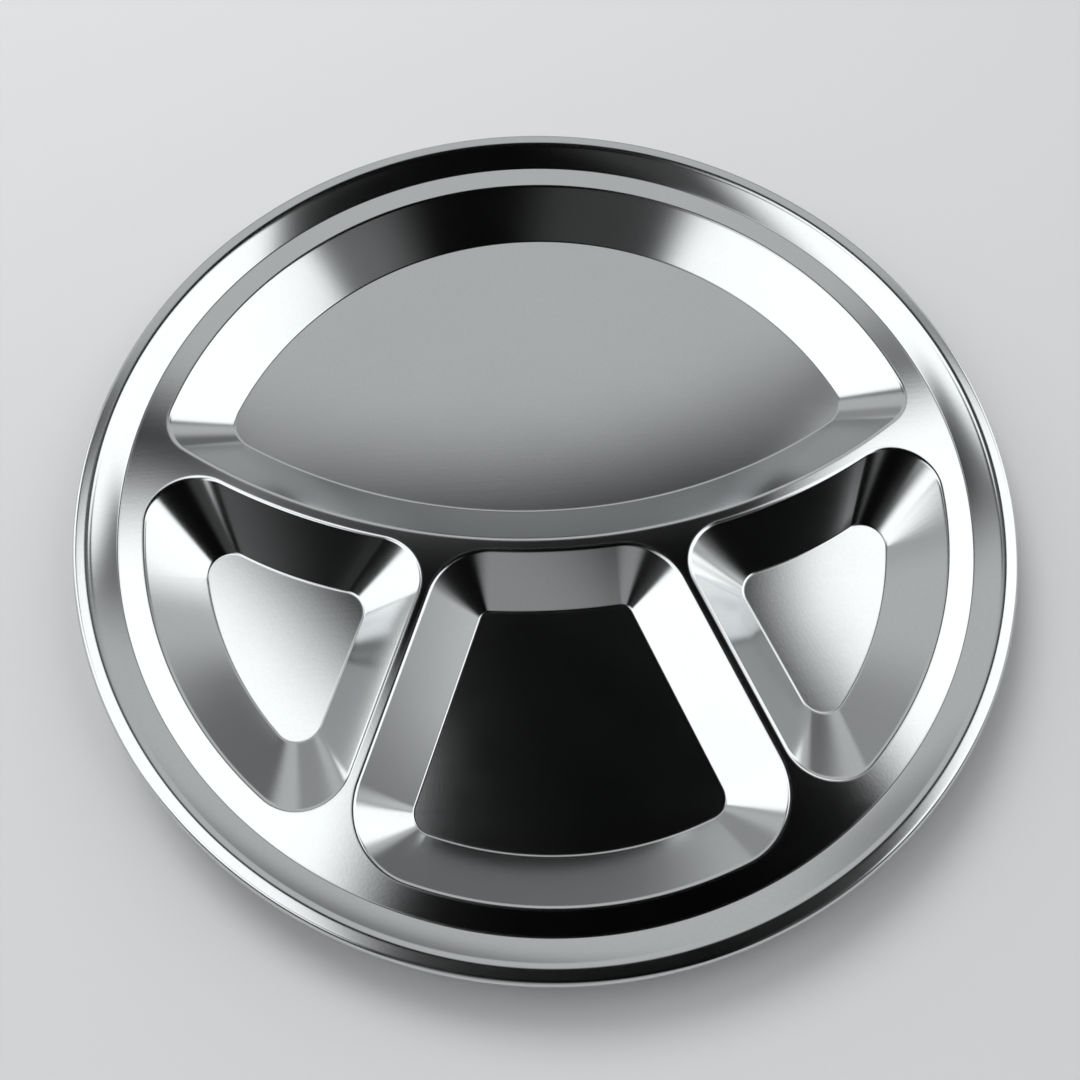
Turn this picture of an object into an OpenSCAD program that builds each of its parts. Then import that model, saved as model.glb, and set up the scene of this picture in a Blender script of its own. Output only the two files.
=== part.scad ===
// Divided compartment plate: one round steel sheet with a rolled rim and four pressed wells.
// Millimetres, +Z up. The origin is on the plate's axis, on the table that the well floors rest on.
// +Y points to the back of the plate, where the large well is.

/* [Plate] */
// Diameter over the rolled rim
plate_d = 260; // [240:1:280]
// Thickness of the steel sheet
sheet_t = 0.6; // [0.4:0.05:0.8]

/* [Rim] */
// Diameter of the rolled edge
curl_d = 2.8; // [2.4:0.1:4]
// Flat ledge between the rolled edge's crest and the collar's crease
ledge_w = 2.8; // [2:0.1:5]
// Width of the sloping collar, seen from above
collar_w = 6.6; // [5:0.1:9]
// Height of the ledge above the deck
collar_h = 4.3; // [3:0.1:6]

/* [Deck] */
// Flat margin between the collar's foot and the wells
margin_w = 7.2; // [5:0.1:10]
// Web between the main well and the three small wells
web_w = 3.6; // [3:0.1:6]
// Rib between the centre well and each side well
rib_w = 3; // [2.8:0.1:5]
// Lean of each rib from the line that runs front to back, in degrees
rib_lean = 20.4; // [18:0.1:23]
// Distance from the plate's axis to the middle of each rib
rib_offset = 23.9; // [22:0.1:26]

/* [Wells] */
// Depth of the wells below the deck
well_depth = 10.8; // [8:0.1:14]
// Width of the sloping walls, seen from above
wall_run = 13.8; // [12:0.1:15]
// Radius of the main well's bowed front side
bow_r = 175; // [160:1:200]
// Reach of the bowed side past the plate's axis
bow_reach = 14.3; // [10:0.1:18]

/* [Corners] */
// Radius of the main well's two corners at the mouth
main_mouth_r = 12; // [10:0.5:16]
// Radius of the main well's two corners on the floor
main_floor_r = 10; // [6:0.5:12]
// Radius of a side well's corners at the mouth
side_mouth_r = 13; // [11:0.5:15]
// Radius of a side well's corners on the floor
side_floor_r = 6.5; // [5:0.5:8]
// Radius of the centre well's back corners on the floor
centre_back_r = 3.2; // [2.5:0.1:6]
// Radius of the centre well's front corners on the floor
centre_front_r = 6; // [3:0.1:8]

/* [Bends] */
// Radius of the rounded lip at each well's mouth
lip_r = 1.6; // [1:0.1:2.2]
// Radius of the heel between a wall and its floor
heel_r = 0.9; // [0.5:0.1:1.5]
// Radius of the bend between the ledge and the collar
crease_r = 1.6; // [1:0.1:2.5]
// Radius of the bend between the collar and the deck
foot_r = 0.9; // [0.5:0.1:1.5]

/* [Hidden] */
$fn = 180;
// Straight steps that stand for one bend of the sheet
bend_steps = 3;
// Flat metal between a bend and the border of its zone
flat_w = 0.3;
// Longest step round a curved wall, in degrees of turn and in millimetres
turn_step = 9;
arc_step = 6;
polished = [0.86, 0.87, 0.88];
satin = [0.74, 0.75, 0.76];

// Radii and heights of the rings, from the rim inwards
crest_r = plate_d / 2 - curl_d / 2;
crease_ring_r = crest_r - ledge_w;
foot_ring_r = crease_ring_r - collar_w;
wells_r = foot_ring_r - margin_w;
ledge_z = well_depth + collar_h;
collar_slope = atan2(collar_h, collar_w);
deck_r = foot_ring_r - foot_r * tan(collar_slope / 2) - flat_w;

// The two axes that the wells' curved sides turn about
plate_axis = [0, 0];
bow_axis = [0, bow_r - bow_reach];
web_r = bow_r + web_w;

// How far a well's zone reaches past its mouth's edge and inside its floor's edge
wall_slope = atan2(well_depth, wall_run);
lip_reach = lip_r * tan(wall_slope / 2) + flat_w;
heel_reach = heel_r * tan(wall_slope / 2) + flat_w;

function unit(a) = [cos(a), sin(a)];
function bearing(v) = atan2(v.y, v.x);

// Points along one bend of the sheet's surface
function bend(centre, r, from, to) =
    [for (i = [0:bend_steps]) centre + r * unit(from + (to - from) * i / bend_steps)];

// Cross-section of a step in the sheet: low flat, bend, slope, bend, high flat.
// Its upper surface would turn sharply at x = 0 and x = run if it had no bends.
function step_section(run, rise, low_r, high_r, low_flat, high_flat) =
    let (
        slope = atan2(rise, run),
        low_c = [-low_r * tan(slope / 2), sheet_t + low_r],
        high_c = [run + high_r * tan(slope / 2), rise + sheet_t - high_r]
    )
    concat(
        [[-low_flat, sheet_t]],
        bend(low_c, low_r, -90, slope - 90),
        bend(high_c, high_r, slope + 90, 90),
        [[run + high_flat, rise + sheet_t], [run + high_flat, rise]],
        bend(high_c, high_r - sheet_t, 90, slope + 90),
        bend(low_c, low_r + sheet_t, slope - 90, -90),
        [[-low_flat, 0]]
    );

// The wells' wall: each point is [outward distance, height, share of the way from floor to mouth]
wall_step = step_section(wall_run, well_depth, heel_r, lip_r, heel_reach, lip_reach);
wall_section = [
    for (i = [0:len(wall_step) - 1])
        let (p = wall_step[i], face_z = i < len(wall_step) / 2 ? sheet_t : 0)
        [p.x, p.y, (p.y - face_z) / well_depth]
];

// Where the line at distance d along bearing a crosses a circle; side picks the crossing
function line_meets_circle(a, d, centre, r, side) =
    let (along = unit(a + 90), miss = centre * unit(a) - d)
    unit(a) * d + along * (centre * along + side * sqrt(r * r - miss * miss));

// Where a circle round the plate's axis crosses one round the bow's axis, on the right
function circles_meet(plate_side_r, bow_side_r) =
    let (y = (plate_side_r ^ 2 - bow_side_r ^ 2 + bow_axis.y ^ 2) / (2 * bow_axis.y))
    [sqrt(plate_side_r ^ 2 - y ^ 2), y];

// A band is one arc of a well's outline: [floor centre, floor radius, mouth centre, mouth radius,
// first bearing, last bearing]. A side that curves into the well has negative radii.
function mirrored(b) = [
    [-b[0].x, b[0].y], b[1], [-b[2].x, b[2].y], b[3], 180 - b[5], 180 - b[4]
];
function mirrored_bands(bands) = [for (i = [len(bands) - 1:-1:0]) mirrored(bands[i])];
function arc_point(centre, r, a) = centre + r * unit(a);

// Main well: a wall round the plate's axis, a bowed front wall and two corners between them
main_mouth_c = circles_meet(wells_r - main_mouth_r, bow_r - main_mouth_r);
main_floor_c = circles_meet(wells_r - wall_run - main_floor_r, bow_r - wall_run - main_floor_r);
main_back_from = bearing(main_floor_c);
main_front_from = bearing(main_floor_c - bow_axis);
main_corner = [
    [
        main_floor_c, main_floor_r, bow_axis, bow_r,
        main_front_from, bearing(main_mouth_c - bow_axis)
    ],
    [
        main_floor_c, main_floor_r, main_mouth_c, main_mouth_r,
        bearing(main_mouth_c - bow_axis), bearing(main_mouth_c)
    ],
    [main_floor_c, main_floor_r, plate_axis, wells_r, bearing(main_mouth_c), main_back_from]
];
main_bands = concat(
    main_corner,
    [[plate_axis, wells_r - wall_run, plate_axis, wells_r, main_back_from, 180 - main_back_from]],
    mirrored_bands(main_corner),
    [[bow_axis, bow_r - wall_run, bow_axis, bow_r, 180 - main_front_from, 360 + main_front_from]]
);

// Right well: an outer wall, a back wall that follows the bow and a straight wall beside the rib
rib_side = 180 + rib_lean;
rib_line = -rib_offset - rib_w / 2;
side_rib_mouth = rib_line - side_mouth_r;
side_rib_floor = rib_line - wall_run - side_floor_r;
side_plate_mouth = wells_r - side_mouth_r;
side_plate_floor = wells_r - wall_run - side_floor_r;
front_mouth_c = line_meets_circle(rib_side, side_rib_mouth, plate_axis, side_plate_mouth, 1);
front_floor_c = line_meets_circle(rib_side, side_rib_floor, plate_axis, side_plate_floor, 1);
inner_mouth_c = line_meets_circle(rib_side, side_rib_mouth, bow_axis, web_r + side_mouth_r, 1);
inner_floor_c = line_meets_circle(
    rib_side, side_rib_floor, bow_axis, web_r + wall_run + side_floor_r, 1
);
outer_mouth_c = circles_meet(side_plate_mouth, web_r + side_mouth_r);
// The floor's back corners lie along the same direction as the mouth's, so the back wall is one cone
back_side = bearing(outer_mouth_c - inner_mouth_c) - 90;
outer_floor_c = line_meets_circle(
    back_side, inner_floor_c * unit(back_side), plate_axis, side_plate_floor, 1
);
inner_bearing = bearing(bow_axis - inner_mouth_c);
outer_bearing = bearing(bow_axis - outer_mouth_c);
back_reach = norm(outer_floor_c - inner_floor_c) / (2 * sin((outer_bearing - inner_bearing) / 2));
back_floor_c = inner_floor_c + back_reach * unit(inner_bearing);
right_bands = [
    [
        plate_axis, wells_r - wall_run, plate_axis, wells_r,
        bearing(front_floor_c), bearing(outer_floor_c)
    ],
    [
        outer_floor_c, side_floor_r, plate_axis, wells_r,
        bearing(outer_floor_c), bearing(outer_mouth_c)
    ],
    [
        outer_floor_c, side_floor_r, outer_mouth_c, side_mouth_r,
        bearing(outer_mouth_c), outer_bearing
    ],
    [back_floor_c, side_floor_r - back_reach, bow_axis, -web_r, outer_bearing, inner_bearing],
    [inner_floor_c, side_floor_r, inner_mouth_c, side_mouth_r, inner_bearing, rib_side],
    [
        front_floor_c, side_floor_r, front_mouth_c, side_mouth_r,
        rib_side, 360 + bearing(front_mouth_c)
    ],
    [
        front_floor_c, side_floor_r, plate_axis, wells_r,
        360 + bearing(front_mouth_c), 360 + bearing(front_floor_c)
    ]
];
left_bands = mirrored_bands(right_bands);

// Centre well: walls of even width all round, so each corner's floor and mouth share one centre
centre_line = rib_offset - rib_w / 2 - wall_run;
centre_back_c = line_meets_circle(
    rib_lean, centre_line - centre_back_r, bow_axis, web_r + wall_run + centre_back_r, -1
);
centre_front_c = line_meets_circle(
    rib_lean, centre_line - centre_front_r, plate_axis, wells_r - wall_run - centre_front_r, -1
);
centre_back_bearing = bearing(bow_axis - centre_back_c);
centre_corners = [
    [
        centre_front_c, centre_front_r, centre_front_c, centre_front_r + wall_run,
        bearing(centre_front_c), rib_lean
    ],
    [
        centre_back_c, centre_back_r, centre_back_c, centre_back_r + wall_run,
        rib_lean, centre_back_bearing
    ]
];
centre_bands = concat(
    centre_corners,
    [[
        bow_axis, -web_r - wall_run, bow_axis, -web_r,
        centre_back_bearing, 180 - centre_back_bearing
    ]],
    mirrored_bands(centre_corners),
    [[
        plate_axis, wells_r - wall_run, plate_axis, wells_r,
        180 - bearing(centre_front_c), 360 + bearing(centre_front_c)
    ]]
);

// Stations are the places round a well where its wall's cross-section stands: [band, bearing].
// A band's first station is left out where the band before it ends at the same place.
function arc_steps(b) =
    let (turn = abs(b[5] - b[4]))
    ceil(max(turn / turn_step, turn * PI / 180 * abs(b[3]) / arc_step));
function follows_straight(before, b) =
    norm(arc_point(before[0], before[1], before[5]) - arc_point(b[0], b[1], b[4])) > flat_w;
function stations(bands) = [
    for (i = [0:len(bands) - 1])
        let (
            b = bands[i],
            before = bands[(i + len(bands) - 1) % len(bands)],
            steps = arc_steps(b)
        )
        for (k = [follows_straight(before, b) ? 0 : 1:steps])
            [b, b[4] + (b[5] - b[4]) * k / steps]
];

// A point of the cross-section at a station. The arc's centre and radius change evenly with height,
// from the floor's to the mouth's.
function wall_point(station, p) =
    let (
        b = station[0],
        centre = b[0] + (b[2] - b[0]) * p.z,
        r = b[1] + p.x + (b[3] - b[1] - wall_run) * p.z,
        place = arc_point(centre, r, station[1])
    )
    [place.x, place.y, p.y];

// The border of a well's zone seen from above, on the deck or on the floor
function mouth_border(bands) =
    [for (s = stations(bands)) arc_point(s[0][2], s[0][3] + lip_reach, s[1])];
function floor_border(bands) =
    [for (s = stations(bands)) arc_point(s[0][0], s[0][1] - heel_reach, s[1])];

// A well's sloping wall, from the flat metal round its mouth to the flat metal of its floor
module well_wall(bands) {
    places = stations(bands);
    rings = len(places);
    sides = len(wall_section);
    function corner(i, j) = (i % rings) * sides + j % sides;
    polyhedron(
        points = [for (s = places, p = wall_section) wall_point(s, p)],
        faces = [
            for (i = [0:rings - 1], j = [0:sides - 1])
                each [
                    [corner(i, j), corner(i + 1, j + 1), corner(i, j + 1)],
                    [corner(i, j), corner(i + 1, j), corner(i + 1, j + 1)]
                ]
        ]
    );
}

// A well's flat floor
module well_floor(bands) {
    linear_extrude(sheet_t)
        polygon(floor_border(bands));
}

// The sheet's edge, curled outwards and under into an open roll
module rolled_rim() {
    color(polished)
        rotate_extrude()
            translate([crest_r, ledge_z + sheet_t - curl_d / 2])
                difference() {
                    circle(curl_d / 2);
                    circle(curl_d / 2 - sheet_t);
                    translate([-curl_d, 0]) square(curl_d);
                }
}

// The ledge inside the roll and the slope down to the deck
module collar() {
    color(polished)
        rotate_extrude()
            translate([foot_ring_r, well_depth])
                polygon(step_section(
                    collar_w, collar_h, foot_r, crease_r, foot_ring_r - deck_r, ledge_w
                ));
}

// The flat land round the wells
module deck() {
    color(polished)
        translate([0, 0, well_depth])
            linear_extrude(sheet_t)
                difference() {
                    circle(deck_r);
                    for (bands = [main_bands, left_bands, centre_bands, right_bands])
                        polygon(mouth_border(bands));
                }
}

// Wall of the large well at the back
module main_wall() {
    color(polished)
        well_wall(main_bands);
}

// Floor of the large well at the back
module main_floor() {
    color(satin)
        well_floor(main_bands);
}

// Wall of the well at the left
module left_wall() {
    color(polished)
        well_wall(left_bands);
}

// Floor of the well at the left
module left_floor() {
    color(satin)
        well_floor(left_bands);
}

// Wall of the well at the front
module centre_wall() {
    color(polished)
        well_wall(centre_bands);
}

// Floor of the well at the front
module centre_floor() {
    color(satin)
        well_floor(centre_bands);
}

// Wall of the well at the right
module right_wall() {
    color(polished)
        well_wall(right_bands);
}

// Floor of the well at the right
module right_floor() {
    color(satin)
        well_floor(right_bands);
}

rolled_rim();
collar();
deck();
main_wall();
main_floor();
left_wall();
left_floor();
centre_wall();
centre_floor();
right_wall();
right_floor();
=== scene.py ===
# %% [markdown]
# # A pressed steel plate with four wells
# The real plate is one thin round of stainless steel. A press draws four wells into it, turns its margin
# up into a collar, and a roller curls the edge under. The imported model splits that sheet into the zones
# that the tools form, and this lesson makes each zone again as a smooth surface with a steel finish.
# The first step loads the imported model, which sets the frame that every piece keeps to.

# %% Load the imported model
import math

import bmesh
import bpy
from mathutils import Matrix, Vector


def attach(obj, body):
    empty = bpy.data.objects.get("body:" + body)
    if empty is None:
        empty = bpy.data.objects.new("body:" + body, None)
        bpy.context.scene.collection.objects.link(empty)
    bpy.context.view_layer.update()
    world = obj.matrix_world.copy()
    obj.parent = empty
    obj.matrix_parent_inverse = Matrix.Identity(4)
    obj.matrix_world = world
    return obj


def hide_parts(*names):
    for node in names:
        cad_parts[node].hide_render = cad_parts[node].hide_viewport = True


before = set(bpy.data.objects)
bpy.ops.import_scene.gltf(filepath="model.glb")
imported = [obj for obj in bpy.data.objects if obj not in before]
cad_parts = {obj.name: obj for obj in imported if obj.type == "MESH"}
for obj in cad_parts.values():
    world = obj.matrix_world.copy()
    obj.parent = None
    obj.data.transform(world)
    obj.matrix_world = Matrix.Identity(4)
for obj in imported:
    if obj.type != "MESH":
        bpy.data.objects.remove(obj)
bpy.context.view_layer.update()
print("CAD nodes:", ", ".join(sorted(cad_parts)))

# %% [markdown]
# ## The plate's sizes
# These are the plate's own sizes, in metres, as a ruler would find them. The rings follow from the rim
# inwards, so each radius is the last one less a width. A polished sheet shows every flaw in its shape,
# so the last values say how finely curves are cut: short steps where the sheet bends tightly, and a thin
# holding strip beside each bend, which keeps smooth shading from leaking into the flat metal next to it.

# %% Sizes of the sheet, the rim and the wells
MM = 0.001
plate_r = 130 * MM
sheet_t = 0.6 * MM
curl_r = 1.4 * MM
ledge_w = 2.8 * MM
collar_w = 6.6 * MM
collar_h = 4.3 * MM
margin_w = 7.2 * MM
well_depth = 10.8 * MM
wall_run = 13.8 * MM

crest_r = plate_r - curl_r
crease_ring_r = crest_r - ledge_w
foot_ring_r = crease_ring_r - collar_w
wells_r = foot_ring_r - margin_w
deck_z = well_depth + sheet_t
ledge_z = deck_z + collar_h

spin_steps = 360
bend_steps = 8
dish_steps = 8
flat_w = 0.3 * MM
hold_w = 0.25 * MM
print("mouths of the wells reach", round(wells_r / MM, 1), "mm from the axis")

# %% [markdown]
# ## A step in the sheet
# The collar and the wells' walls are all the same kind of step: a low flat, a bend up, a straight slope,
# a bend back and a high flat. One function draws the upper face of such a step in section, with true
# arcs for the bends. Arcs and slope depend on each other, so a few rounds settle both. The slope may be
# dished, which means a little hollow, so that it grows steeper towards the top. Polish shows even a tenth of
# a millimetre of that. Only the upper face is drawn, because Solidify gives the sheet its thickness later.

# %% The section of a step
settle_rounds = 4


def unit(bearing):
    turn = math.radians(bearing)
    return Vector((math.cos(turn), math.sin(turn)))


def arc(centre, r, first, last, steps):
    return [centre + r * unit(first + (last - first) * i / steps) for i in range(steps + 1)]


def step_profile(run, rise, low_r, high_r, low_flat, high_flat, dish=0):
    slope = math.degrees(math.atan2(rise, run))
    tangent = math.tan(math.radians(slope / 2))
    low_c = Vector((-low_r * tangent, low_r))
    high_c = Vector((run + high_r * tangent, rise - high_r))
    for _ in range(settle_rounds):
        low_bend = arc(low_c, low_r, -90, slope - dish - 90, bend_steps)
        high_bend = arc(high_c, high_r, slope + dish + 90, 90, bend_steps)
        chord = high_bend[0] - low_bend[-1]
        slope = math.degrees(math.atan2(chord.y, chord.x))
    hollow = chord.length / 2 * math.tan(math.radians(dish / 2)) * unit(slope - 90)
    hold = hold_w / chord.length
    inner = [i / dish_steps for i in range(1, dish_steps)] if dish else []
    slope_line = [low_bend[-1] + s * chord + 4 * s * (1 - s) * hollow for s in [hold, *inner, 1 - hold]]
    low_end = Vector((-low_flat, 0))
    high_end = Vector((run + high_flat, rise))
    return [low_end, *low_bend, *slope_line, *high_bend, high_end]


def bend_reach(r, run, rise):
    return r * math.tan(math.atan2(rise, run) / 2) + flat_w


# %% [markdown]
# ## From a surface to a piece of sheet
# Every zone ends in the same few steps. Doubles are merged, the faces are turned to look up, Solidify adds
# the sheet's thickness below, and edges sharper than a bend are marked so that the cut borders stay crisp.
# The piece then rides on the plate's only body, and the node of the same name is hidden.

# %% Finish a piece
sharp_angle = math.radians(50)
merge_gap = 0.001 * MM
sheets = {}


def look_up(bm):
    bmesh.ops.recalc_face_normals(bm, faces=bm.faces)
    highest = max(bm.faces, key=lambda f: f.calc_center_median().z)
    if highest.normal.z < 0:
        bmesh.ops.reverse_faces(bm, faces=bm.faces)


def make_piece(bm, name):
    bmesh.ops.remove_doubles(bm, verts=bm.verts, dist=merge_gap)
    look_up(bm)
    bmesh.ops.solidify(bm, geom=bm.faces, thickness=sheet_t)
    mesh = bpy.data.meshes.new(name)
    bm.to_mesh(mesh)
    bm.free()
    mesh.shade_smooth()
    mesh.set_sharp_from_angle(angle=sharp_angle)
    piece = bpy.data.objects.new(name + "_sheet", mesh)
    bpy.context.scene.collection.objects.link(piece)
    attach(piece, "root")
    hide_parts(name)
    sheets[name] = piece
    print(name, len(mesh.polygons), "faces")


# %% [markdown]
# ## The rolled rim and the collar
# Both are turned shapes, so each is a line spun once round the plate's axis. The roll's line is three
# quarters of a circle that starts level with the ledge, which leaves the curl open underneath as on the
# real edge. The two meet in flat metal just inside the roll, where a seam can't be seen.

# %% Spin the rim and the collar
curl_turn = 270
curl_steps = 60
foot_r = 0.9 * MM
crease_r = 3.4 * MM
collar_dish = 2.5
deck_r = foot_ring_r - bend_reach(foot_r, collar_w, collar_h)
rim_seam_r = crest_r - flat_w


def spin_profile(points):
    bm = bmesh.new()
    verts = [bm.verts.new((p.x, 0, p.y)) for p in points]
    edges = [bm.edges.new(pair) for pair in zip(verts, verts[1:])]
    bmesh.ops.spin(
        bm, geom=verts + edges, cent=(0, 0, 0), axis=(0, 0, 1),
        angle=math.tau, steps=spin_steps, use_merge=True,
    )
    return bm


curl = arc(Vector((crest_r, ledge_z - curl_r)), curl_r, 90, 90 - curl_turn, curl_steps)
make_piece(spin_profile([Vector((rim_seam_r, ledge_z)), *curl]), "rolled_rim")

collar_step = step_profile(
    collar_w, collar_h, foot_r, crease_r, foot_ring_r - deck_r, rim_seam_r - crease_ring_r, collar_dish
)
collar_place = Vector((foot_ring_r, deck_z))
make_piece(spin_profile([p + collar_place for p in collar_step]), "collar")

# %% [markdown]
# ## The wells' outlines
# Seen from above, each well is a chain of arcs, and each arc has one centre and radius on the floor and
# another at the mouth. Such a pair is called a band here. Between floor and mouth the centre and radius
# change evenly, which draws the smooth slanted walls of the pressing. The outer walls turn round the
# plate's axis, and the walls along the web turn round the axis of the main well's bowed front side.
# A side that bulges into its well has negative radii.

# %% Axes and helpers for the outlines
bow_r = 175 * MM
bow_reach = 14.3 * MM
web_w = 3.6 * MM
web_r = bow_r + web_w
plate_axis = Vector((0, 0))
bow_axis = Vector((0, bow_r - bow_reach))


def bearing(v):
    return math.degrees(math.atan2(v.y, v.x))


def line_meets_circle(normal, distance, centre, r, side):
    along = unit(normal + 90)
    miss = centre.dot(unit(normal)) - distance
    return unit(normal) * distance + along * (centre.dot(along) + side * math.sqrt(r * r - miss * miss))


def circles_meet(plate_side_r, bow_side_r):
    y = (plate_side_r ** 2 - bow_side_r ** 2 + bow_axis.y ** 2) / (2 * bow_axis.y)
    return Vector((math.sqrt(plate_side_r ** 2 - y ** 2), y))


def mirrored(bands):
    flip = lambda c: Vector((-c.x, c.y))
    return [
        (flip(floor_c), floor_r, flip(mouth_c), mouth_r, 180 - last, 180 - first)
        for floor_c, floor_r, mouth_c, mouth_r, first, last in reversed(bands)
    ]


# %% [markdown]
# ### The main well
# The large well has only two corners. Its back wall is part of a ring round the plate's axis, and its
# bowed front wall is part of a much larger ring, so the two meet in pointed ends that the corners round.

# %% Bands of the main well
main_mouth_r = 12 * MM
main_floor_r = 10 * MM
main_mouth_c = circles_meet(wells_r - main_mouth_r, bow_r - main_mouth_r)
main_floor_c = circles_meet(wells_r - wall_run - main_floor_r, bow_r - wall_run - main_floor_r)
back_from = bearing(main_floor_c)
front_from = bearing(main_floor_c - bow_axis)
mouth_front = bearing(main_mouth_c - bow_axis)
mouth_back = bearing(main_mouth_c)
main_corner = [
    (main_floor_c, main_floor_r, bow_axis, bow_r, front_from, mouth_front),
    (main_floor_c, main_floor_r, main_mouth_c, main_mouth_r, mouth_front, mouth_back),
    (main_floor_c, main_floor_r, plate_axis, wells_r, mouth_back, back_from),
]
main_bands = [
    *main_corner,
    (plate_axis, wells_r - wall_run, plate_axis, wells_r, back_from, 180 - back_from),
    *mirrored(main_corner),
    (bow_axis, bow_r - wall_run, bow_axis, bow_r, 180 - front_from, 360 + front_from),
]

# %% [markdown]
# ### The side wells
# A side well has three corners. One wall is straight and lies along the rib that parts it from the centre
# well, the back wall follows the web and bulges in, and the outer wall follows the plate. The left well
# is the right one mirrored.

# %% Bands of the side wells
rib_w = 3 * MM
rib_lean = 20.4
rib_offset = 23.9 * MM
side_mouth_r = 13 * MM
side_floor_r = 6.5 * MM
rib_side = 180 + rib_lean
rib_line = -rib_offset - rib_w / 2
mouth_line = rib_line - side_mouth_r
floor_line = rib_line - wall_run - side_floor_r
mouth_ring = wells_r - side_mouth_r
floor_ring = wells_r - wall_run - side_floor_r
front_mouth_c = line_meets_circle(rib_side, mouth_line, plate_axis, mouth_ring, 1)
front_floor_c = line_meets_circle(rib_side, floor_line, plate_axis, floor_ring, 1)
inner_mouth_c = line_meets_circle(rib_side, mouth_line, bow_axis, web_r + side_mouth_r, 1)
inner_floor_c = line_meets_circle(rib_side, floor_line, bow_axis, web_r + wall_run + side_floor_r, 1)
outer_mouth_c = circles_meet(mouth_ring, web_r + side_mouth_r)
back_side = bearing(outer_mouth_c - inner_mouth_c) - 90
back_line = inner_floor_c.dot(unit(back_side))
outer_floor_c = line_meets_circle(back_side, back_line, plate_axis, floor_ring, 1)
inner_from = bearing(bow_axis - inner_mouth_c)
outer_to = bearing(bow_axis - outer_mouth_c)
back_half_turn = math.radians((outer_to - inner_from) / 2)
back_reach = (outer_floor_c - inner_floor_c).length / (2 * math.sin(back_half_turn))
back_floor_c = inner_floor_c + back_reach * unit(inner_from)
front_to = 360 + bearing(front_mouth_c)
right_bands = [
    (plate_axis, wells_r - wall_run, plate_axis, wells_r, bearing(front_floor_c), bearing(outer_floor_c)),
    (outer_floor_c, side_floor_r, plate_axis, wells_r, bearing(outer_floor_c), bearing(outer_mouth_c)),
    (outer_floor_c, side_floor_r, outer_mouth_c, side_mouth_r, bearing(outer_mouth_c), outer_to),
    (back_floor_c, side_floor_r - back_reach, bow_axis, -web_r, outer_to, inner_from),
    (inner_floor_c, side_floor_r, inner_mouth_c, side_mouth_r, inner_from, rib_side),
    (front_floor_c, side_floor_r, front_mouth_c, side_mouth_r, rib_side, front_to),
    (front_floor_c, side_floor_r, plate_axis, wells_r, front_to, 360 + bearing(front_floor_c)),
]
left_bands = mirrored(right_bands)

# %% [markdown]
# ### The centre well
# The well at the front has walls of even width all round, so each corner turns about one centre on the
# floor and at the mouth.

# %% Bands of the centre well
centre_back_r = 3.2 * MM
centre_front_r = 6 * MM
centre_line = rib_offset - rib_w / 2 - wall_run
centre_back_c = line_meets_circle(
    rib_lean, centre_line - centre_back_r, bow_axis, web_r + wall_run + centre_back_r, -1
)
centre_front_c = line_meets_circle(
    rib_lean, centre_line - centre_front_r, plate_axis, wells_r - wall_run - centre_front_r, -1
)
back_to = bearing(bow_axis - centre_back_c)
front_bearing = bearing(centre_front_c)
centre_corners = [
    (centre_front_c, centre_front_r, centre_front_c, centre_front_r + wall_run, front_bearing, rib_lean),
    (centre_back_c, centre_back_r, centre_back_c, centre_back_r + wall_run, rib_lean, back_to),
]
centre_bands = [
    *centre_corners,
    (bow_axis, -web_r - wall_run, bow_axis, -web_r, back_to, 180 - back_to),
    *mirrored(centre_corners),
    (plate_axis, wells_r - wall_run, plate_axis, wells_r, 180 - front_bearing, 360 + front_bearing),
]
wells = {"main": main_bands, "left": left_bands, "centre": centre_bands, "right": right_bands}
print("bands:", {name: len(bands) for name, bands in wells.items()})

# %% [markdown]
# ## Walls of the wells
# A wall starts as one ring of edges on the floor. Each extrusion lifts a copy of the ring to the next point
# of the step's section, so the wall grows from the floor's flat metal, round the heel, up the slope and
# over the lip. Every vertex remembers its station, which is its place round the well.

# %% Grow the walls
turn_step = 3
arc_step = 3 * MM
heel_r = 0.9 * MM
lip_r = 1.6 * MM
heel_reach = bend_reach(heel_r, wall_run, well_depth)
lip_reach = bend_reach(lip_r, wall_run, well_depth)
wall_profile = step_profile(wall_run, well_depth, heel_r, lip_r, heel_reach, lip_reach)
least_gap = flat_w / 10


def wall_point(place, p):
    (floor_c, floor_r, mouth_c, mouth_r, first, last), outward = place
    share = p.y / well_depth
    centre = floor_c.lerp(mouth_c, share)
    r = floor_r + p.x + (mouth_r - floor_r - wall_run) * share
    return (centre + r * unit(outward)).to_3d() + Vector((0, 0, sheet_t + p.y))


def stations(bands):
    places = []
    for band in bands:
        mouth_r, first, last = band[3:]
        turn = abs(last - first)
        steps = math.ceil(max(turn / turn_step, math.radians(turn) * abs(mouth_r) / arc_step))
        places += [(band, first + (last - first) * k / steps) for k in range(steps + 1)]
    ends = [wall_point(place, wall_profile[0]) for place in places]
    return [places[i] for i in range(len(places)) if (ends[i] - ends[i - 1]).length > least_gap]


def add_ring(bm, bands, p):
    lane = bm.verts.layers.int.get("station") or bm.verts.layers.int.new("station")
    ring = [bm.verts.new(wall_point(place, p)) for place in stations(bands)]
    for i, v in enumerate(ring):
        v[lane] = i
    return [bm.edges.new((v, ring[i - 1])) for i, v in enumerate(ring)]


def grow_wall(bands):
    bm = bmesh.new()
    edges = add_ring(bm, bands, wall_profile[0])
    lane = bm.verts.layers.int["station"]
    places = stations(bands)
    for p in wall_profile[1:]:
        grown = bmesh.ops.extrude_edge_only(bm, edges=edges)["geom"]
        for v in grown:
            if isinstance(v, bmesh.types.BMVert):
                v.co = wall_point(places[v[lane]], p)
        edges = [e for e in grown if isinstance(e, bmesh.types.BMEdge) and e.is_boundary]
    return bm


for well, bands in wells.items():
    make_piece(grow_wall(bands), well + "_wall")

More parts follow.
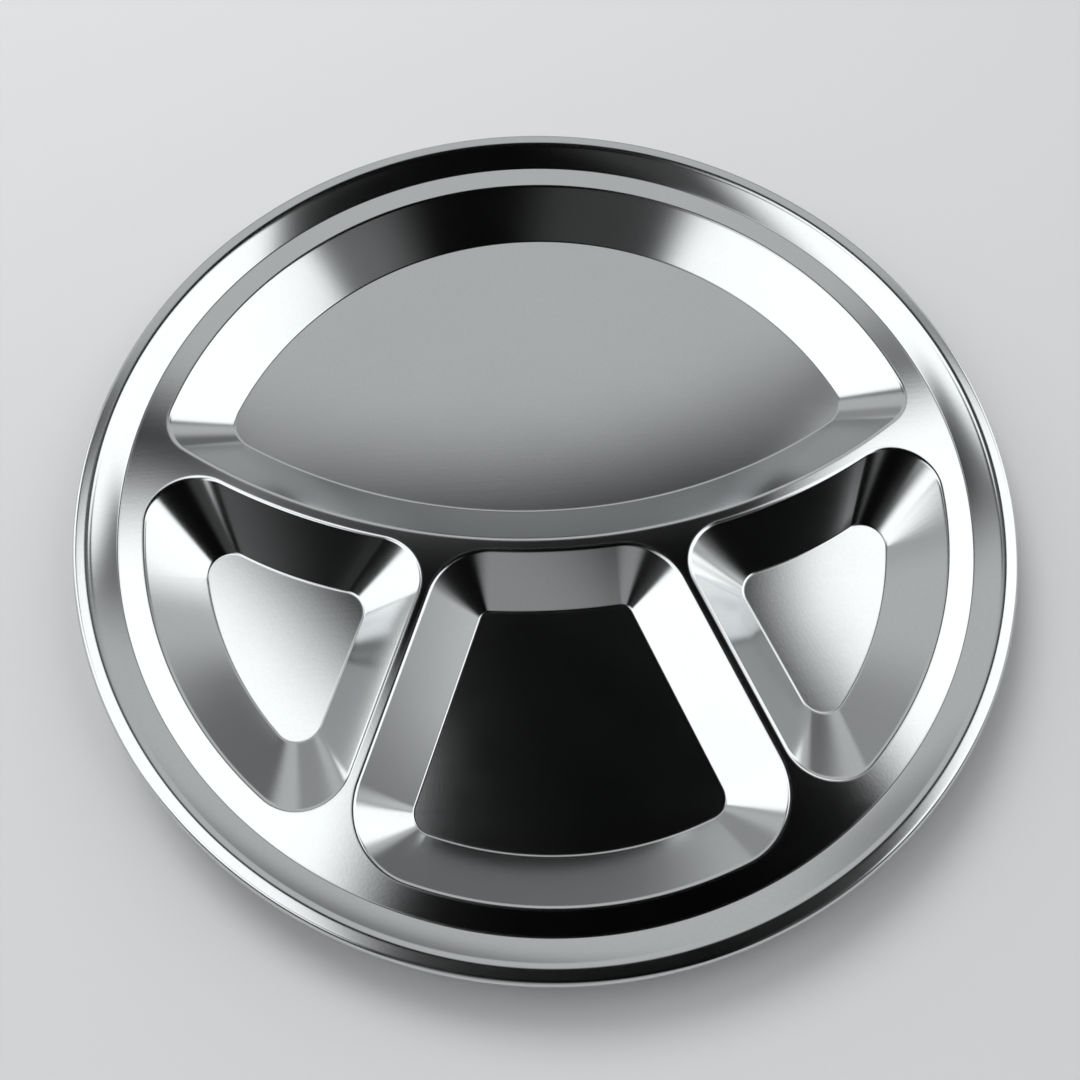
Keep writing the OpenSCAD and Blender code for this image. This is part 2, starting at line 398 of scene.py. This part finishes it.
# %% [markdown]
# ## Floors and deck
# What is left is flat. A floor is one face inside the ring where its wall begins. The deck is a disc with
# the four mouths left open, which the triangle fill finds from the disc's edge and the four rings.

# %% Fill the floors and the deck
for well, bands in wells.items():
    bm = bmesh.new()
    bmesh.ops.contextual_create(bm, geom=add_ring(bm, bands, wall_profile[0]))
    make_piece(bm, well + "_floor")

bm = bmesh.new()
bmesh.ops.create_circle(bm, radius=deck_r, segments=spin_steps)
bmesh.ops.translate(bm, verts=bm.verts, vec=(0, 0, deck_z))
for bands in wells.values():
    add_ring(bm, bands, wall_profile[-1])
bmesh.ops.triangle_fill(bm, edges=bm.edges, use_beauty=True)
make_piece(bm, "deck")

# %% [markdown]
# ## Shaders written as sums
# A shader is a net of small nodes, and a net is hard to read as code. The class below wraps one output of a
# node and overloads the plain operators, so `1 - mask * 0.2` adds the Math nodes that it needs and links
# them. One method makes every other kind of node: its settings come first, then its inputs.

# %% One output of a node
class Signal:
    def __init__(self, tree, socket=None):
        self.tree = tree
        self.socket = socket

    def add(self, kind, settings=None, inputs=None, output=0):
        node = self.tree.nodes.new(kind)
        for name, value in (settings or {}).items():
            setattr(node, name, value)
        for key, value in (inputs or {}).items():
            self.feed(node.inputs[key], value)
        return Signal(self.tree, node.outputs[output])

    def feed(self, socket, value):
        if isinstance(value, Signal):
            self.tree.links.new(value.socket, socket)
        else:
            socket.default_value = value

    def maths(self, operation, first, second=0.0):
        return self.add("ShaderNodeMath", {"operation": operation}, {0: first, 1: second})

    def vectors(self, operation, inputs, output=0):
        return self.add("ShaderNodeVectorMath", {"operation": operation}, inputs, output)

    def __add__(self, other):
        return self.maths("ADD", self, other)

    def __radd__(self, other):
        return self.maths("ADD", other, self)

    def __sub__(self, other):
        return self.maths("SUBTRACT", self, other)

    def __rsub__(self, other):
        return self.maths("SUBTRACT", other, self)

    def __mul__(self, other):
        return self.maths("MULTIPLY", self, other)

    def __rmul__(self, other):
        return self.maths("MULTIPLY", other, self)

    def __truediv__(self, other):
        return self.maths("DIVIDE", self, other)


# %% [markdown]
# ## Steel
# The plate is bare stainless steel with three degrees of gloss: sharp on the deck, a little softer on the
# floors, and softest on the walls, which the press stretched. A metal's colour is its reflection, so Metallic
# is one and the base colour is the cool mid grey of steel. The rest is small and shows only in the gloss:
# cloudy rub marks from polishing, the faint grain of rolled sheet along its length, a fine speckle, and the
# slight ripple of pressed metal. All of it is noise on Object coordinates, so it runs on from one zone of the
# sheet into the next as it would in one piece of metal. Scales count the features in a metre, and heights are
# in millimetres.

# %% Three finishes of one sheet
cloud_scale = 22
rub_scale = 60
speckle_scale = 1300
ripple_scale = 26
grain_stretch = (0.05, 0.0011, 0.05)
ripple_height = 0.02
grain_height = 0.001
speckle_height = 0.0016


def noise(place, scale, detail):
    return place.add("ShaderNodeTexNoise", inputs={"Vector": place, "Scale": scale, "Detail": detail})


def stretched(place, stretch):
    return place.add("ShaderNodeMapping", {"vector_type": "TEXTURE"}, {"Vector": place, "Scale": stretch})


def steel(name, dull_tone, softness, grain_depth):
    material = bpy.data.materials.new(name)
    material.use_nodes = True
    shader = material.node_tree.nodes["Principled BSDF"]
    place = Signal(material.node_tree).add("ShaderNodeTexCoord", output="Object")

    clouds = noise(place, cloud_scale, detail=3)
    speckle = noise(place, speckle_scale, detail=2)
    rub = noise(place, rub_scale, detail=5)
    grain = noise(stretched(place, grain_stretch), scale=1, detail=3)
    ripple = noise(place, ripple_scale, detail=1)

    mix_inputs = {0: (clouds + speckle) / 2, 6: dull_tone, 7: bright_tone}
    tone = place.add("ShaderNodeMix", {"data_type": "RGBA"}, mix_inputs, output=2)
    roughness = softness + (rub - 0.5) * rub_depth + (grain - 0.5) * grain_depth
    height = ripple * ripple_height + grain * grain_height + speckle * speckle_height
    bump = place.add("ShaderNodeBump", inputs={"Strength": 1.0, "Distance": MM, "Height": height})
    shader.inputs["Metallic"].default_value = 1
    place.feed(shader.inputs["Base Color"], tone)
    place.feed(shader.inputs["Roughness"], roughness)
    place.feed(shader.inputs["Normal"], bump)
    print(name, "has", len(material.node_tree.nodes), "nodes")
    return material


bright_tone = (0.66, 0.67, 0.675, 1)
formed_tone = (0.57, 0.585, 0.59, 1)
floor_tone = (0.565, 0.58, 0.585, 1)
rub_depth = 0.03
deck_steel = steel("deck_steel", formed_tone, softness=0.075, grain_depth=0.01)
wall_steel = steel("wall_steel", formed_tone, softness=0.13, grain_depth=0.01)
floor_steel = steel("floor_steel", floor_tone, softness=0.1, grain_depth=0.02)
for name, piece in sheets.items():
    if name.endswith("_floor"):
        piece.data.materials.append(floor_steel)
    elif name == "deck":
        piece.data.materials.append(deck_steel)
    else:
        piece.data.materials.append(wall_steel)

# %% [markdown]
# ## The floor
# The plate stands on a plain pale floor, wide enough that its edge stays far off in every view. It is matt,
# so it keeps the plate's soft shadow and adds no gloss of its own.

# %% A pale matt floor
floor_half = 30
floor_gap = 0.05 * MM
floor_grey = (0.665, 0.67, 0.68, 1)
bm = bmesh.new()
bmesh.ops.create_grid(bm, x_segments=1, y_segments=1, size=floor_half)
bmesh.ops.translate(bm, verts=bm.verts, vec=(0, 0, -floor_gap))
mesh = bpy.data.meshes.new("pale_floor")
bm.to_mesh(mesh)
bm.free()
floor = bpy.data.objects.new("pale_floor", mesh)
bpy.context.scene.collection.objects.link(floor)
paint = bpy.data.materials.new("pale_floor")
paint.use_nodes = True
paint_shader = paint.node_tree.nodes["Principled BSDF"]
paint_shader.inputs["Base Color"].default_value = floor_grey
paint_shader.inputs["Roughness"].default_value = 1
paint_shader.inputs["Specular IOR Level"].default_value = 0
mesh.materials.append(paint)
print("floor is", 2 * floor_half, "m wide")

# %% [markdown]
# ## The studio
# Polished metal shows what stands round it, so the light is a plain studio: a large white soft box at each
# side, a grey screen at the back, and an unlit room overhead, from where the camera looks down. Lamps would
# give each box a hard edge in the steel, so the studio is drawn in the world, on a chart of the sky. The
# middle of the chart is straight up, and a point (u, v) lies u degrees from there to the right and
# v degrees to the back.

# %% Chart of the sky
world = bpy.data.worlds.new("studio")
world.use_nodes = True
bpy.context.scene.world = world
bpy.context.scene.view_settings.view_transform = "Standard"
sky = Signal(world.node_tree).add("ShaderNodeTexCoord", output="Generated")
height = sky.add("ShaderNodeSeparateXYZ", inputs={0: sky}, output="Z")
level_part = sky.vectors("MULTIPLY", {0: sky, 1: (1, 1, 0)})
reach = sky.vectors("LENGTH", {0: level_part}, "Value")
off_top = sky.maths("ARCCOSINE", height) * math.degrees(1)
chart = sky.vectors("SCALE", {0: level_part, "Scale": off_top / reach})
chart = sky.vectors("ADD", {0: chart, 1: (0, 0, 1)})


# %% [markdown]
# A panel is a convex area of the chart. Its border is walked with the panel on the left hand, and it can stay
# open where it would close below the horizon. Each stretch of border fades over a few degrees, and the
# product of them covers the panel. Panels are laid over each other like sheets of paper: a later one hides
# what it covers.

# %% Soft panels
def soft_step(value, low, high):
    inputs = {"Value": value, "From Min": low, "From Max": high}
    return sky.add("ShaderNodeMapRange", {"interpolation_type": "SMOOTHSTEP"}, inputs)


def soft_panel(border, soft):
    cover = 1
    for (u, v), (next_u, next_v) in zip(border, border[1:]):
        along = Vector((next_u - u, next_v - v)).normalized()
        edge = (-along.y, along.x, along.y * u - along.x * v)
        depth = sky.vectors("DOT_PRODUCT", {0: chart, 1: edge}, "Value")
        cover = soft_step(depth, -soft, soft) * cover
    return cover


# %% [markdown]
# Each row below is one panel: its name, its level of light, how many degrees its border fades over, and the
# border. White boxes stand left and right, the grey screen hangs at the back, and dim panels behind the
# camera keep the near walls from going black. Two narrow dark flags part the boxes from the screen, which
# draws the dark gaps in the polished deck. A pale low wall closes the studio near the floor, so that the
# plate stays light when it is seen from the side or from behind.

# %% Hang the studio
box_level = 1.65
panels = [
    ("room", 0.2, 5, [(-60, 8), (-36, 8), (-31, 60)]),
    ("room right of the screen", 0.09, 5, [(25.5, 60), (25.5, 18), (60, 18)]),
    ("screen", 0.64, 5.5, [(-82, 71.5), (-42, 34.5), (-0.5, 27), (13.5, 28.5), (60, 48), (90, 78)]),
    ("dim foot of the screen", 0.38, 5, [(-48, 100), (-48, 60), (-12, 58), (-12, 100)]),
    ("dark foot of the screen", 0.19, 4.5, [(-14, 100), (-10.5, 84), (49.5, 53.5), (64, 80)]),
    ("left flag", 0.04, 2, [(-26, 27), (-12.6, 21.7), (-12.8, 31), (-26, 35.6), (-26, 27)]),
    ("glow by the right box", 0.2, 6, [(40, -12), (23, -26), (29, -34), (52, -20)]),
    ("left box overhead", box_level, 3.5, [
        (-44, -22), (-31, -31.5), (-24.5, -33), (-5.4, 9.7),
        (-4.1, 14.8), (-14.2, 27.2), (-20, 27.6), (-37, 10.8),
    ]),
    ("left box", box_level, 3, [(-90, -19), (-23.8, -16.6), (-34, 10.9), (-44.2, 32.6), (-89.3, 73.8)]),
    ("right box overhead", box_level, 2.5, [
        (58.4, 18), (23.4, 32.6), (19.8, 31), (13, 17.7), (30.5, -9), (37.5, -23), (62.5, -3.6),
    ]),
    ("right box", box_level, 4, [(88.5, 79.6), (42, 33.7), (40.4, 9), (90, 11.5)]),
    ("shade by the right box", 0.3, 4, [(90, 13), (63, 9.8), (63, -14.2), (90, -22)]),
    ("low right panel", 0.8, 2.5, [(95, 14), (67.3, 6), (67.3, -7), (95, -22)]),
    ("right flag", 0.16, 2, [(17, 29.3), (40, 32.3), (44, 38.5), (18, 32.2), (17, 29.3)]),
    ("panel behind the camera", 0.36, 5.5, [(30, -95), (20, -54), (-16, -42.4), (-29, -52), (-50, -85)]),
    ("low left panel", 0.1, 6.5, [(-50, -80), (-34, -54), (-51.5, -26.5), (-90, -26)]),
    ("faint panel", 0.056, 5.5, [(7.4, -43), (-1.8, -26.8), (-23.4, 6.2), (-21.8, -44), (7.4, -43)]),
]
unlit_level = 0.001
low_wall_level = 0.55
low_wall_soft = 9
low_walls = [("sides", 73, 79, 25), ("front", 66, 73, -20)]
cool_white = (0.985, 1, 1.005, 1)

light = unlit_level + low_wall_level * soft_step(off_top, 72, 82)
for name, level, soft, border in panels:
    light = light + (level - light) * soft_panel(border, soft)
for name, fade_from, fade_to, back in low_walls:
    low_wall = soft_step(off_top, fade_from, fade_to) * soft_panel([(90, back), (-90, back)], low_wall_soft)
    light = light + (low_wall_level - light) * low_wall
background = world.node_tree.nodes["Background"]
sky.feed(background.inputs["Strength"], light)
sky.feed(background.inputs["Color"], cool_white)
print("panels:", ", ".join(row[0] for row in panels))

# %% [markdown]
# The panels wrap the plate in light, which leaves it hardly a shadow. One large lamp behind it on the left
# gives the floor a soft shadow towards the front. The steel doesn't mirror the lamp, so the soft boxes stay
# the only lights in it.

# %% A lamp for the shadow
lamp_size = 0.7
lamp_power = 9
lamp_place = (-0.45, 0.75, 1.1)
lamp = bpy.data.objects.new("shadow_lamp", bpy.data.lights.new("shadow_lamp", "AREA"))
lamp.data.shape = "DISK"
lamp.data.size = lamp_size
lamp.data.energy = lamp_power
lamp.location = lamp_place
lamp.rotation_euler = (-lamp.location).to_track_quat("-Z", "Y").to_euler()
lamp.visible_glossy = False
bpy.context.scene.collection.objects.link(lamp)
print("lamp", round(lamp.location.length, 2), "m from the plate")

# %% [markdown]
# ## The camera
# The camera stands in front of the plate and a little to the left, close above it and tipped slightly, and
# looks down at about 65 degrees. Aim and roll give its turn.

# %% Camera
camera_place = Vector((-20.68, -145.72, 291.88)) * MM
camera_aim = Vector((-3.73, -14.68, 11.4)) * MM
camera_roll = math.radians(4.04)
lens_mm = 37.45
sensor_mm = 36
nearest = 0.01
camera = bpy.data.objects.new("camera", bpy.data.cameras.new("camera"))
camera.data.lens = lens_mm
camera.data.sensor_width = sensor_mm
camera.data.clip_start = nearest
camera.location = camera_place
sight = (camera_aim - camera_place).to_track_quat("-Z", "Y").to_matrix().to_4x4()
camera.rotation_euler = (sight @ Matrix.Rotation(camera_roll, 4, "Z")).to_euler()
bpy.context.scene.collection.objects.link(camera)
bpy.context.scene.camera = camera
print("camera", round((camera_place - camera_aim).length / MM), "mm from its aim")
